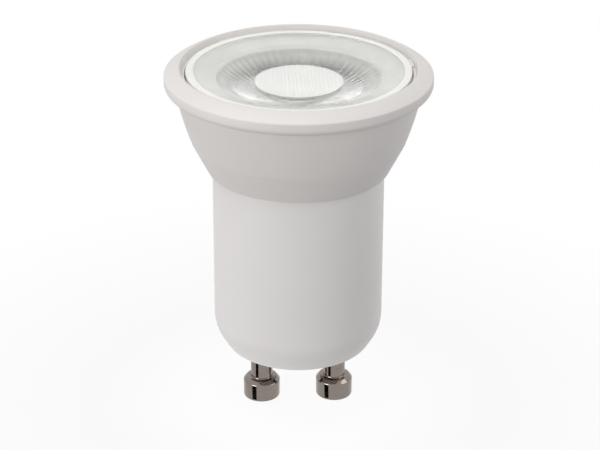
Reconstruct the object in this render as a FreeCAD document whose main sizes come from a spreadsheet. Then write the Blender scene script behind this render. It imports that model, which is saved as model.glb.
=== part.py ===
import FreeCAD, Part
import math
import os
import re

import Sketcher

# A small reflector-shaped LED spotlight bulb with a two-pin twist base.
# Millimetres. +Z runs along the lamp's axis from the pins to the lens, the two pins lie on X,
# and the origin is on the axis at the level of the pins' flat ends, on which the lamp can stand.

SIZES = {
    # Contact pins
    "pin_spacing": 10.0,
    "pin_head_radius": 2.5,
    "pin_head_height": 3.0,
    "pin_shoulder_height": 0.5,
    "pin_shoulder_inset": 0.45,
    "pin_end_rounding": 0.35,
    "pin_shank_radius": 1.5,
    "pin_rivet_radius": 2.2,
    "pin_rivet_height": 0.5,
    "pin_tail_length": 1.0,
    "pin_bore_radius": 0.65,
    "pin_bore_depth": 1.8,
    "pin_fit": 0.05,
    # Base shell
    "base_face_height": 8.8,
    "base_radius": 11.35,
    "bevel_width": 1.75,
    "bevel_height": 2.9,
    "bevel_edge_rounding": 1.2,
    "base_wall": 1.3,
    "base_floor": 1.5,
    "base_length": 25.7,
    "spigot_inset": 0.5,
    "spigot_length": 2.5,
    "boss_radius": 3.2,
    "boss_height": 0.8,
    # Head shell
    "spigot_fit": 0.1,
    "collar_lip": 0.65,
    "belt_share": 0.52,
    "belt_rise": 4.15,
    "neck_inset": 1.45,
    "neck_drop": 2.15,
    "cup_side_curve": 45.0,
    "head_length": 13.2,
    "flange_radius": 17.5,
    "flange_edge_rounding": 0.5,
    "flange_side_drop": 1.4,
    "flange_under_inset": 0.6,
    "flange_under_drop": 1.9,
    "flange_face_width": 1.6,
    "flange_face_curve": 12.0,
    "flange_crest_rise": 0.9,
    "flange_crest_width": 0.2,
    "lens_groove_width": 0.3,
    "lens_groove_depth": 0.95,
    "head_wall": 1.25,
    "cup_rim_wall": 0.95,
    "ledge_thickness": 1.2,
    "flange_lip": 2.65,
    "head_rim_depth": 3.2,
    # Lens
    "lens_fit": 0.15,
    "lens_drop": 0.5,
    "lens_rim_thickness": 1.6,
    "lens_rim_rounding": 0.3,
    "lens_rim_width": 0.7,
    "lens_dish_drop": 0.9,
    "lens_dish_width": 3.05,
    "lens_recess_depth": 1.85,
    "lens_spot_radius": 5.8,
    "lens_spot_rise": 0.2,
    "collimator_inset": 3.9,
    "collimator_gap": 0.3,
    "collimator_foot_radius": 4.7,
    "collimator_curve": 14.0,
    "lens_cavity_radius": 3.4,
    "lens_cavity_depth": 3.6,
    "lens_cavity_bulge": 0.6,
    "lug_count": 3,
    "lug_width": 2.6,
    "lug_reach": 0.4,
    "lug_drop": 0.1,
    "lug_thickness": 0.3,
    "gate_width": 1.4,
    "gate_depth": 0.35,
    "lens_turn": -112.0,
    # Heat sink cup
    "sink_fit": 0.15,
    "sink_sheet": 0.9,
    "sink_top_gap": 0.1,
    "lead_hole_radius": 0.9,
    # Light source
    "pad_thickness": 0.25,
    "pad_margin": 0.5,
    "led_board_gap": 0.9,
    "led_board_thickness": 1.0,
    "led_size": 4.4,
    "led_height": 0.9,
    "led_window_radius": 1.85,
    "led_window_depth": 0.35,
    "screw_margin": 1.8,
    "screw_radius": 1.0,
    "screw_head_radius": 1.7,
    "screw_head_height": 1.1,
    "screw_fit": 0.1,
    "screw_slot_width": 0.5,
    "screw_slot_depth": 0.5,
    # Driver board and its slots
    "board_thickness": 1.0,
    "board_side_gap": 0.95,
    "board_foot_rise": 4.3,
    "board_top_gap": 1.9,
    "board_fit": 0.1,
    "rib_thickness": 0.8,
    "rib_reach": 1.3,
    "part_fit": 0.1,
    # Driver components: a rise is measured from the foot of the board, and a share is of the base's bore
    "bulk_cap_radius_share": 0.398,
    "bulk_cap_top_gap": 1.7,
    "bulk_cap_across_share": -0.328,
    "bulk_cap_rise": 6.9,
    "output_cap_radius_share": 0.249,
    "output_cap_top_gap": 0.2,
    "output_cap_across_share": 0.537,
    "output_cap_rise": 11.6,
    "cap_groove_depth": 0.25,
    "cap_edge_rounding": 0.35,
    "cap_sleeve_rim": 0.5,
    "cap_wire_spread": 1.7,
    "cap_wire_drop": 1.3,
    "inductor_radius_share": 0.2985,
    "inductor_height_share": 0.517,
    "inductor_flange_share": 0.08,
    "inductor_core_share": 0.15,
    "inductor_across_share": 0.458,
    "inductor_rise": 6.6,
    "winding_gap": 0.3,
    "film_cap_width": 7.2,
    "film_cap_depth": 3.2,
    "film_cap_height": 4.8,
    "film_cap_across": 0.0,
    "film_cap_rise": 3.0,
    "rectifier_width": 4.7,
    "rectifier_height": 3.9,
    "rectifier_depth": 2.4,
    "rectifier_across": 4.0,
    "rectifier_rise": 8.6,
    "chip_width": 4.9,
    "chip_height": 3.9,
    "chip_depth": 1.5,
    "chip_across": -3.4,
    "chip_rise": 13.0,
    "diode_width": 4.3,
    "diode_height": 2.6,
    "diode_depth": 2.1,
    "diode_across": 3.4,
    "diode_rise": 13.8,
    "component_wire_radius": 0.3,
    "component_wire_bend": 0.6,
    "terminal_thickness": 0.2,
    "terminal_reach": 0.7,
    "package_edge": 0.25,
    "fuse_radius": 1.5,
    "fuse_length": 8.0,
    "fuse_waist": 0.25,
    "fuse_rise": 1.8,
    "fuse_wire_reach": 0.9,
    "chip_resistor_length": 3.2,
    "chip_resistor_width": 1.6,
    "chip_resistor_depth": 0.55,
    "chip_resistor_pitch": 2.4,
    "chip_resistor_across": -3.4,
    "chip_resistor_rise": 7.4,
    "chip_capacitor_length": 2.0,
    "chip_capacitor_width": 1.25,
    "chip_capacitor_depth": 0.9,
    "chip_capacitor_pitch": 2.0,
    "chip_capacitor_across": 5.8,
    "chip_capacitor_rise": 16.8,
    # Leads
    "mains_lead_radius": 0.55,
    "mains_lead_bend": 1.0,
    "mains_lead_stand_off": 1.7,
    "mains_lead_pad_rise": 3.0,
    "led_lead_radius": 0.45,
    "led_lead_bend": 3.0,
    "led_lead_across": 2.2,
    "led_lead_pad_drop": 2.6,
    "led_lead_margin": 2.7,
    "led_lead_stub": 0.7,
}

# Heights that follow from the sizes above, from the pins up
FLOOR = "base_face_height + base_floor"
SHOULDER = "base_face_height + base_length"
BELT = SHOULDER + " + belt_rise"
FLANGE = SHOULDER + " + head_length"
SPIGOT_TOP = SHOULDER + " + spigot_length"
HEAD_SHELF = SPIGOT_TOP + " + part_fit"
SINK_FLOOR = HEAD_SHELF + " + sink_sheet"
BOARD_SEAT = SINK_FLOOR + " + pad_thickness"
LED_SEAT = BOARD_SEAT + " + led_board_thickness"
SCREW_LENGTH = "sink_sheet + pad_thickness + led_board_thickness"
CREST = FLANGE + " + flange_crest_rise"
LENS_TOP = CREST + " - lens_drop"
LENS_SEAT = LENS_TOP + " - lens_rim_thickness"
LENS_FOOT = LED_SEAT + " + part_fit + part_fit"
RECESS_FLOOR = LENS_TOP + " - lens_recess_depth"
BOARD_FOOT = FLOOR + " + board_foot_rise"
BOARD_TOP = HEAD_SHELF + " - board_top_gap"

# Radii that follow: the head is drawn inwards from its flange, and the base from its cylinder
SPIGOT = "base_radius - spigot_inset"
BASE_FACE = "base_radius - bevel_width"
BASE_BORE = "base_radius - base_wall"
COLLAR = "base_radius + collar_lip"
NECK = "flange_radius - neck_inset"
BELT_RADIUS = "(%s + (%s - (%s)) * belt_share)" % (COLLAR, NECK, COLLAR)
FACE_EDGE = "flange_radius - flange_edge_rounding / 2"
CREST_RADIUS = FACE_EDGE + " - flange_face_width"
LENS_HOLE = "flange_radius - flange_lip"
LENS_RADIUS = LENS_HOLE + " - lens_fit"
CUP_BORE = LENS_HOLE + " - cup_rim_wall"
LEDGE_BORE = LENS_RADIUS + " - collimator_inset + collimator_gap"
SHELF_RADIUS = ("%s - head_wall - (%s - (%s)) * (belt_rise - spigot_length - part_fit) / belt_rise"
                % (BELT_RADIUS, BELT_RADIUS, COLLAR))
SINK_BORE = SHELF_RADIUS + " - sink_fit - sink_sheet"
LED_BOARD_RADIUS = SINK_BORE + " - led_board_gap"
SCREW_PLACE = LED_BOARD_RADIUS + " - screw_margin"
LED_LEAD_PLACE = LED_BOARD_RADIUS + " - led_lead_margin"
CAVITY_DOME = "(lens_cavity_radius ^ 2 + lens_cavity_bulge ^ 2) / (2 * lens_cavity_bulge)"
BOARD_FACE = "board_thickness / 2"
BOARD_HALF_WIDTH = BASE_BORE + " - board_side_gap"

document = FreeCAD.newDocument("spotlight_bulb")
sheet = document.addObject("Spreadsheet::Sheet", "Sizes")
for row, (size_name, size_value) in enumerate(SIZES.items(), start=1):
    sheet.set("A%d" % row, size_name)
    sheet.set("B%d" % row, str(size_value))
    sheet.setAlias("B%d" % row, size_name)
document.recompute()

pieces = []


def bound(text):
    """Point each size name in an expression at its cell of the sheet."""
    return re.sub(r"[a-z][a-z_]*[a-z]", lambda name: "Sizes." + name.group(), text)


def value(text):
    """Work an expression out from the sheet, in millimetres."""
    return float(sheet.evalExpression(bound(text)))


def piece(name):
    """Start one physical piece of the lamp."""
    body = document.addObject("PartDesign::Body", name)
    body.Label = name
    pieces.append(body)
    return body


def plane_of(body, role):
    return [item for item in body.Origin.OriginFeatures if item.Role == role][0]


def sketch_on(body, name, role, offset="0"):
    """An empty sketch on one of the piece's own origin planes, or offset from it along its normal."""
    sketch = body.newObject("Sketcher::SketchObject", name)
    sketch.AttachmentSupport = [(plane_of(body, role), "")]
    sketch.MapMode = "FlatFace"
    if offset != "0":
        sketch.setExpression("AttachmentOffset.Base.z", bound(offset))
    return sketch


def hold_point(sketch, side, end, across, up):
    """Hold a point of the sketch at two sheet-driven distances from the sketch's origin."""
    for kind, axis, text in (("DistanceX", -2, across), ("DistanceY", -1, up)):
        if text == "0":
            sketch.addConstraint(Sketcher.Constraint("PointOnObject", side, end, axis))
            continue
        index = sketch.addConstraint(Sketcher.Constraint(kind, -1, 1, side, end, value(text)))
        sketch.setExpression("Constraints[%d]" % index, bound(text))


def hold_radius(sketch, side, text):
    index = sketch.addConstraint(Sketcher.Constraint("Radius", side, value(text)))
    sketch.setExpression("Constraints[%d]" % index, bound(text))


def arc_through(start, end, radius, swell):
    """The shorter arc from start to end; swell 1 bulges to the left of the chord, -1 to the right."""
    chord = end - start
    left = FreeCAD.Vector(-chord.y, chord.x, 0).normalize() * swell
    rise = radius - math.sqrt(radius ** 2 - (chord.Length / 2) ** 2)
    return Part.Arc(start, (start + end) / 2 + left * rise, end)


def draw_outline(sketch, corners):
    """Draw a closed outline. A corner is (across, up), or (across, up, radius, swell) where the side
    that leaves it is an arc."""
    places = [FreeCAD.Vector(value(corner[0]), value(corner[1]), 0) for corner in corners]
    first = sketch.GeometryCount
    for index, corner in enumerate(corners):
        start = places[index]
        end = places[(index + 1) % len(corners)]
        if len(corner) == 4:
            sketch.addGeometry(arc_through(start, end, value(corner[2]), corner[3]), False)
        else:
            sketch.addGeometry(Part.LineSegment(start, end), False)
    # An arc that turns clockwise is stored the other way round, so its start and end change places.
    ends = []
    for index, corner in enumerate(corners):
        clockwise = len(corner) == 4 and corner[3] > 0
        ends.append((2, 1) if clockwise else (1, 2))
    for index in range(len(corners)):
        following = (index + 1) % len(corners)
        sketch.addConstraint(Sketcher.Constraint(
            "Coincident", first + index, ends[index][1], first + following, ends[following][0]))
    for index, corner in enumerate(corners):
        hold_point(sketch, first + index, ends[index][0], corner[0], corner[1])
        if len(corner) == 4:
            hold_radius(sketch, first + index, corner[2])


def draw_circle(sketch, across, up, radius):
    centre = FreeCAD.Vector(value(across), value(up), 0)
    side = sketch.addGeometry(Part.Circle(centre, FreeCAD.Vector(0, 0, 1), value(radius)), False)
    hold_point(sketch, side, 3, across, up)
    hold_radius(sketch, side, radius)


def draw_rectangle(sketch, left, right, bottom, top):
    draw_outline(sketch, [(left, bottom), (right, bottom), (right, top), (left, top)])


def revolve(body, name, corners, cut=False):
    """Turn an outline of (radius, height) corners round the piece's own axis."""
    sketch = sketch_on(body, name + "_outline", "XZ_Plane")
    draw_outline(sketch, corners)
    kind = "PartDesign::Groove" if cut else "PartDesign::Revolution"
    turned = body.newObject(kind, name)
    turned.Profile = sketch
    turned.ReferenceAxis = (sketch, ["V_Axis"])
    turned.Angle = 360
    sketch.Visibility = False
    return turned


def pad(body, name, sketch, length, backwards=False):
    block = body.newObject("PartDesign::Pad", name)
    block.Profile = sketch
    block.setExpression("Length", bound(length))
    block.Reversed = backwards
    sketch.Visibility = False
    return block


def pocket(body, name, sketch, length, backwards=False):
    """Cut a sketch out of the piece, and check that it did remove material."""
    document.recompute()
    before = body.Shape.Volume
    hole = body.newObject("PartDesign::Pocket", name)
    hole.Profile = sketch
    hole.setExpression("Length", bound(length))
    hole.Reversed = backwards
    sketch.Visibility = False
    document.recompute()
    if body.Shape.Volume >= before:
        raise RuntimeError(name + " cuts nothing")
    return hole


def dress(body, kind, name, size, chosen):
    """Fillet or chamfer the edges of the piece that the chosen test picks."""
    document.recompute()
    carrier = body.Tip
    edges = ["Edge%d" % (index + 1) for index, edge in enumerate(carrier.Shape.Edges) if chosen(edge)]
    feature = body.newObject("PartDesign::" + kind, name)
    feature.Base = (carrier, edges)
    feature.setExpression("Radius" if kind == "Fillet" else "Size", bound(size))
    return feature


def repeat_round(body, name, feature, count):
    """Repeat a feature evenly round the piece's Z axis."""
    axis = [item for item in body.Origin.OriginFeatures if item.Role == "Z_Axis"][0]
    pattern = body.newObject("PartDesign::PolarPattern", name)
    pattern.Originals = [feature]
    pattern.Axis = (axis, [""])
    pattern.Angle = 360
    pattern.setExpression("Occurrences", bound(count))
    body.Tip = pattern
    return pattern


def bent_wire(body, name, across, start, turn, reach):
    """A component's wire: from its body's end at start along Z to turn, then round a bend to the board."""
    route = sketch_on(body, name + "_route", "YZ_Plane", across)
    low = FreeCAD.Vector(0, value(start), 0)
    corner = FreeCAD.Vector(0, value(turn), 0)
    end = FreeCAD.Vector(value(reach), value(turn), 0)
    bend = value("component_wire_bend")
    towards = (low - corner).normalize() * bend
    forward = FreeCAD.Vector(bend, 0, 0)
    middle = corner + (towards + forward) * (1 - math.sqrt(0.5))
    first = route.addGeometry(Part.LineSegment(low, corner + towards), False)
    arc = route.addGeometry(Part.Arc(corner + towards, middle, corner + forward), False)
    last = route.addGeometry(Part.LineSegment(corner + forward, end), False)
    entry, leave = (1, 2) if towards.y > 0 else (2, 1)
    route.addConstraint(Sketcher.Constraint("Tangent", first, 2, arc, entry))
    route.addConstraint(Sketcher.Constraint("Tangent", arc, leave, last, 1))
    route.addConstraint(Sketcher.Constraint("Vertical", first))
    route.addConstraint(Sketcher.Constraint("Horizontal", last))
    hold_point(route, first, 1, "0", start)
    hold_point(route, last, 2, reach, turn)
    hold_radius(route, arc, "component_wire_bend")
    section = sketch_on(body, name + "_section", "XY_Plane", start)
    draw_circle(section, across, "0", "component_wire_radius")
    document.recompute()
    wire = body.newObject("PartDesign::AdditivePipe", name)
    wire.Profile = section
    wire.Spine = (route, ["Edge1", "Edge2", "Edge3"])
    route.Visibility = False
    section.Visibility = False


def put(body, across="0", along="0", up="0"):
    """Place the piece by sheet-driven distances along X, Y and Z."""
    for axis, text in (("x", across), ("y", along), ("z", up)):
        if text != "0":
            body.setExpression("Placement.Base." + axis, bound(text))


# The two contact pins: a flat-ended head, a waist that the holder's slot grips, and a riveted tail
# inside the base with a cup for the lead.
def make_contact_pin(name, side):
    body = piece(name)
    tail_end = FLOOR + " + pin_rivet_height + pin_tail_length"
    revolve(body, name + "_turning", [
        ("0", "0"),
        ("pin_head_radius - pin_end_rounding", "0", "pin_end_rounding", -1),
        ("pin_head_radius", "pin_end_rounding"),
        ("pin_head_radius", "pin_head_height - pin_shoulder_height"),
        ("pin_head_radius - pin_shoulder_inset", "pin_head_height"),
        ("pin_shank_radius", "pin_head_height"),
        ("pin_shank_radius", FLOOR),
        ("pin_rivet_radius", FLOOR),
        ("pin_rivet_radius", FLOOR + " + pin_rivet_height"),
        ("pin_shank_radius", FLOOR + " + pin_rivet_height"),
        ("pin_shank_radius", tail_end),
        ("pin_bore_radius", tail_end),
        ("pin_bore_radius", tail_end + " - pin_bore_depth"),
        ("0", tail_end + " - pin_bore_depth"),
    ])
    put(body, across="pin_spacing / 2" if side > 0 else "-pin_spacing / 2")


# The base shell: a cylinder with a bevelled end, bosses round the pins, a spigot for the head and
# four ribs that guide the driver board.
def make_base_shell():
    body = piece("base_shell")
    revolve(body, "base_turning", [
        ("0", "base_face_height"),
        (BASE_FACE, "base_face_height"),
        ("base_radius", "base_face_height + bevel_height"),
        ("base_radius", SHOULDER),
        (SPIGOT, SHOULDER),
        (SPIGOT, SPIGOT_TOP),
        (BASE_BORE, SPIGOT_TOP),
        (BASE_BORE, "base_face_height + bevel_height + part_fit"),
        (BASE_FACE + " - base_wall", FLOOR),
        ("0", FLOOR),
    ])

    def is_bevel_edge(edge):
        ring = edge.BoundBox
        level = value("base_face_height + bevel_height")
        return ring.ZLength < 1e-6 and abs(ring.ZMin - level) < 1e-6 and ring.XMax > value("base_radius") - 1e-3

    dress(body, "Fillet", "bevel_rounding", "bevel_edge_rounding", is_bevel_edge)
    bosses = sketch_on(body, "boss_outline", "XY_Plane", "base_face_height")
    for across in ("pin_spacing / 2", "-pin_spacing / 2"):
        draw_circle(bosses, across, "0", "boss_radius")
    pad(body, "pin_bosses", bosses, "boss_height", backwards=True)
    holes = sketch_on(body, "pin_hole_outline", "XY_Plane", FLOOR)
    for across in ("pin_spacing / 2", "-pin_spacing / 2"):
        draw_circle(holes, across, "0", "pin_shank_radius + pin_fit")
    pocket(body, "pin_holes", holes, "base_floor + boss_height")
    rib_root = "base_face_height + bevel_height + part_fit"
    slot = BOARD_FACE + " + board_fit"
    guides = sketch_on(body, "rib_outline", "XY_Plane", rib_root)
    inner = BASE_BORE + " - rib_reach"
    outer = BASE_BORE + " + base_wall / 4"
    for left, right in ((inner, outer), ("-(%s)" % outer, "-(%s)" % inner)):
        draw_rectangle(guides, left, right, slot, slot + " + rib_thickness")
        draw_rectangle(guides, left, right, "-(%s + rib_thickness)" % slot, "-(%s)" % slot)
    pad(body, "guide_ribs", guides, "%s - (%s)" % (SHOULDER, rib_root))
    stops = sketch_on(body, "stop_outline", "XY_Plane", rib_root)
    for left, right in ((inner, outer), ("-(%s)" % outer, "-(%s)" % inner)):
        draw_rectangle(stops, left, right, "-(%s)" % slot, slot)
    pad(body, "board_stops", stops, "%s - (%s)" % (BOARD_FOOT, rib_root))


# The head shell: a tapering cup over a lower belt, with the broad flange that the lens sits in and the
# ledge that carries it. The flange's edge turns through 60 degrees into a face that rises to a narrow
# crest round the lens. The heat sink is an insert that the shell is moulded round.
def make_head_shell():
    body = piece("head_shell")
    revolve(body, "head_turning", [
        (SPIGOT + " + spigot_fit", SHOULDER),
        (COLLAR, SHOULDER),
        (BELT_RADIUS, BELT, "cup_side_curve", -1),
        (NECK, FLANGE + " - neck_drop"),
        ("flange_radius - flange_under_inset", FLANGE + " - flange_under_drop"),
        ("flange_radius", FLANGE + " - flange_side_drop"),
        ("flange_radius", FLANGE + " - flange_edge_rounding * 0.866", "flange_edge_rounding", -1),
        (FACE_EDGE, FLANGE, "flange_face_curve", -1),
        (CREST_RADIUS, CREST),
        (CREST_RADIUS + " - flange_crest_width", CREST),
        (LENS_HOLE + " + lens_groove_width", CREST + " - lens_groove_depth"),
        (LENS_HOLE, CREST + " - lens_groove_depth"),
        (LENS_HOLE, LENS_SEAT),
        (LEDGE_BORE, LENS_SEAT),
        (LEDGE_BORE, LENS_SEAT + " - ledge_thickness"),
        (CUP_BORE, LENS_SEAT + " - ledge_thickness"),
        (CUP_BORE, LENS_SEAT + " - head_rim_depth"),
        (BELT_RADIUS + " - head_wall", BELT),
        (SHELF_RADIUS, HEAD_SHELF),
        (SPIGOT + " + spigot_fit", HEAD_SHELF),
    ])


# The heat sink: a cup pressed from aluminium sheet, seated on the head's inner shelf.
def make_heat_sink():
    body = piece("heat_sink")
    rim = LENS_SEAT + " - ledge_thickness - sink_top_gap"
    revolve(body, "sink_pressing", [
        ("0", HEAD_SHELF),
        (SHELF_RADIUS + " - sink_fit", HEAD_SHELF),
        (BELT_RADIUS + " - head_wall - sink_fit", BELT),
        (CUP_BORE + " - sink_fit", LENS_SEAT + " - head_rim_depth"),
        (CUP_BORE + " - sink_fit", rim),
        (CUP_BORE + " - sink_fit - sink_sheet", rim),
        (CUP_BORE + " - sink_fit - sink_sheet", LENS_SEAT + " - head_rim_depth"),
        (BELT_RADIUS + " - head_wall - sink_fit - sink_sheet", BELT + " + sink_sheet / 4"),
        (SINK_BORE, SINK_FLOOR),
        ("0", SINK_FLOOR),
    ])
    holes = sketch_on(body, "sink_hole_outline", "XY_Plane", SINK_FLOOR)
    draw_board_holes(holes)
    pocket(body, "sink_holes", holes, "sink_sheet")


# The same four holes run through the pad, the LED board and the heat sink's floor.
def draw_board_holes(sketch):
    for across in (SCREW_PLACE, "-(%s)" % SCREW_PLACE):
        draw_circle(sketch, across, "0", "screw_radius + screw_fit")
    for across in ("led_lead_across", "-led_lead_across"):
        draw_circle(sketch, across, LED_LEAD_PLACE, "lead_hole_radius")


def make_board_disc(name, foot, radius, thickness):
    body = piece(name)
    disc = sketch_on(body, name + "_outline", "XY_Plane", foot)
    draw_circle(disc, "0", "0", radius)
    draw_board_holes(disc)
    pad(body, name + "_blank", disc, thickness)


# The light source: a square ceramic carrier with a round window that its phosphor fills.
def make_led_package():
    body = piece("led_package")
    outline = sketch_on(body, "led_outline", "XY_Plane", LED_SEAT)
    draw_rectangle(outline, "-led_size / 2", "led_size / 2", "-led_size / 2", "led_size / 2")
    pad(body, "led_block", outline, "led_height")
    window = sketch_on(body, "led_window_outline", "XY_Plane", LED_SEAT + " + led_height")
    draw_circle(window, "0", "0", "led_window_radius")
    pocket(body, "led_window", window, "led_window_depth")


def make_led_phosphor():
    body = piece("led_phosphor")
    outline = sketch_on(body, "phosphor_outline", "XY_Plane",
                        LED_SEAT + " + led_height - led_window_depth")
    draw_circle(outline, "0", "0", "led_window_radius")
    pad(body, "phosphor_fill", outline, "led_window_depth")


# The two slotted screws that hold the LED board down on the heat sink.
def make_board_screws():
    body = piece("board_screws")
    seat = sketch_on(body, "screw_head_outline", "XY_Plane", LED_SEAT)
    shank = sketch_on(body, "screw_shank_outline", "XY_Plane", LED_SEAT)
    for across in (SCREW_PLACE, "-(%s)" % SCREW_PLACE):
        draw_circle(seat, across, "0", "screw_head_radius")
        draw_circle(shank, across, "0", "screw_radius")
    for sketch, name, length, backwards in ((seat, "screw_heads", "screw_head_height", False),
                                            (shank, "screw_shanks", SCREW_LENGTH, True)):
        pad(body, name, sketch, length, backwards).AllowMultiFace = True
    slots = sketch_on(body, "screw_slot_outline", "XY_Plane", LED_SEAT + " + screw_head_height")
    reach = SCREW_PLACE + " + screw_head_radius"
    draw_rectangle(slots, "-(%s)" % reach, reach,
                   "-screw_slot_width / 2", "screw_slot_width / 2")
    pocket(body, "screw_slots", slots, "screw_slot_depth")


# The clear one-piece lens: a rim with snap-in lugs and the flat where its gate was cut off, a shallow
# dish with a raised round spot, and below it the collimator, whose curved flank turns the light of the
# source forward.
def make_lens():
    body = piece("lens")
    revolve(body, "lens_moulding", [
        ("0", RECESS_FLOOR + " + lens_spot_rise"),
        ("0", LENS_FOOT + " + lens_cavity_depth - lens_cavity_bulge", CAVITY_DOME, -1),
        ("lens_cavity_radius", LENS_FOOT + " + lens_cavity_depth"),
        ("lens_cavity_radius + part_fit", LENS_FOOT),
        ("collimator_foot_radius", LENS_FOOT, "collimator_curve", -1),
        (LENS_RADIUS + " - collimator_inset", LENS_SEAT),
        (LENS_RADIUS, LENS_SEAT),
        (LENS_RADIUS, LENS_TOP + " - lens_rim_rounding", "lens_rim_rounding", -1),
        (LENS_RADIUS + " - lens_rim_rounding", LENS_TOP),
        (LENS_RADIUS + " - lens_rim_width", LENS_TOP),
        (LENS_RADIUS + " - lens_rim_width - lens_dish_width", LENS_TOP + " - lens_dish_drop"),
        ("lens_spot_radius + lens_spot_rise", RECESS_FLOOR),
        ("lens_spot_radius", RECESS_FLOOR),
        ("lens_spot_radius", RECESS_FLOOR + " + lens_spot_rise"),
    ])
    tab = sketch_on(body, "lug_outline", "XY_Plane", LENS_TOP + " - lug_drop")
    draw_rectangle(tab, LENS_RADIUS + " - lens_rim_width", LENS_RADIUS + " + lug_reach",
                   "-lug_width / 2", "lug_width / 2")
    lug = pad(body, "lug", tab, "lug_thickness", backwards=True)
    document.recompute()
    repeat_round(body, "lugs", lug, "lug_count")
    gate = sketch_on(body, "gate_outline", "XY_Plane", LENS_TOP)
    draw_rectangle(gate, "-(%s + lug_reach)" % LENS_RADIUS, "-(%s - gate_depth)" % LENS_RADIUS,
                   "-gate_width / 2", "gate_width / 2")
    pocket(body, "gate_flat", gate, "lens_rim_thickness")
    body.Placement.Rotation = FreeCAD.Rotation(FreeCAD.Vector(0, 0, 1), value("lens_turn"))


# The driver board stands between the base's ribs, with its foot on their stops.
def make_driver_board():
    body = piece("driver_board")
    outline = sketch_on(body, "driver_board_outline", "XZ_Plane", "-" + BOARD_FACE)
    draw_rectangle(outline, "-(%s)" % BOARD_HALF_WIDTH, BOARD_HALF_WIDTH, BOARD_FOOT, BOARD_TOP)
    pad(body, "driver_board_blank", outline, "board_thickness")


# An electrolytic capacitor standing along the board: a sleeved can with its rolled groove.
def make_can_capacitor(name, size):
    body = piece(name)
    radius = "(%s) * %s_radius_share" % (BASE_BORE, size)
    foot = "%s + %s_rise" % (BOARD_FOOT, size)
    length = "(%s - %s_top_gap - (%s))" % (BOARD_TOP, size, foot)
    groove = length + " / 6"
    revolve(body, name + "_can", [
        ("0", "0"),
        (radius + " - cap_edge_rounding", "0", "cap_edge_rounding", -1),
        (radius, "cap_edge_rounding"),
        (radius, groove + " - cap_groove_depth"),
        (radius + " - cap_groove_depth", groove),
        (radius, groove + " + cap_groove_depth"),
        (radius, length + " - cap_edge_rounding", "cap_edge_rounding", -1),
        (radius + " - cap_edge_rounding", length),
        (radius + " - cap_edge_rounding - cap_sleeve_rim", length),
        (radius + " - cap_edge_rounding - cap_sleeve_rim", length + " - cap_groove_depth"),
        ("0", length + " - cap_groove_depth"),
    ])
    for side, spread in (("left", "-cap_wire_spread"), ("right", "cap_wire_spread")):
        bent_wire(body, side + "_wire", spread, "0", "-cap_wire_drop", radius + " + part_fit")
    across = "(%s) * %s_across_share" % (BASE_BORE, size)
    put(body, across, "-(%s + part_fit + %s)" % (BOARD_FACE, radius), foot)


# The inductor: a ferrite drum that lies with its axis square to the board, and its copper winding.
def make_inductor():
    radius = "(%s) * inductor_radius_share" % BASE_BORE
    height = "(%s) * inductor_height_share" % BASE_BORE
    flange = "(%s) * inductor_flange_share" % BASE_BORE
    core = "(%s) * inductor_core_share" % BASE_BORE
    drum = piece("inductor_core")
    revolve(drum, "drum_turning", [
        ("0", "0"),
        (radius, "0"),
        (radius, flange),
        (core, flange),
        (core, height + " - " + flange),
        (radius, height + " - " + flange),
        (radius, height),
        ("0", height),
    ])
    coil = piece("inductor_winding")
    revolve(coil, "winding_turning", [
        (core, flange),
        (radius + " - winding_gap", flange),
        (radius + " - winding_gap", height + " - " + flange),
        (core, height + " - " + flange),
    ])
    for body in (drum, coil):
        body.Placement.Rotation = FreeCAD.Rotation(FreeCAD.Vector(1, 0, 0), 90)
        put(body, "(%s) * inductor_across_share" % BASE_BORE, "-" + BOARD_FACE, BOARD_FOOT + " + inductor_rise")


# A block on the back of the board, with its upper edges bevelled where it is moulded.
def make_board_block(name, size, edge=""):
    body = piece(name)
    outline = sketch_on(body, name + "_outline", "XZ_Plane", "-" + BOARD_FACE)
    across = size + "_across"
    level = "%s + %s_rise" % (BOARD_FOOT, size)
    draw_rectangle(outline, "%s - %s_width / 2" % (across, size), "%s + %s_width / 2" % (across, size),
                   "%s - %s_height / 2" % (level, size), "%s + %s_height / 2" % (level, size))
    pad(body, name + "_block", outline, size + "_depth", backwards=True)
    top = value("%s + %s_depth" % (BOARD_FACE, size))
    if edge:
        dress(body, "Chamfer", name + "_bevel", edge,
              lambda rim: rim.BoundBox.YLength < 1e-6 and abs(rim.BoundBox.YMin - top) < 1e-6)
    return body


# The bent terminals of a package reach out at its left and right, flat on the board.
def add_terminals(body, name, size, count):
    feet = sketch_on(body, name + "_feet_outline", "XZ_Plane", "-" + BOARD_FACE)
    for index in range(count):
        middle = "%s + %s_rise + %s_height * %.4f" % (BOARD_FOOT, size, size, (index + 0.5) / count - 0.5)
        half = "%s_height / %d" % (size, 4 * count)
        draw_rectangle(feet,
                       "%s_across - %s_width / 2 - terminal_reach" % (size, size),
                       "%s_across + %s_width / 2 + terminal_reach" % (size, size),
                       "%s - %s" % (middle, half), "%s + %s" % (middle, half))
    pad(body, name + "_feet", feet, "terminal_thickness", backwards=True)


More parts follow.
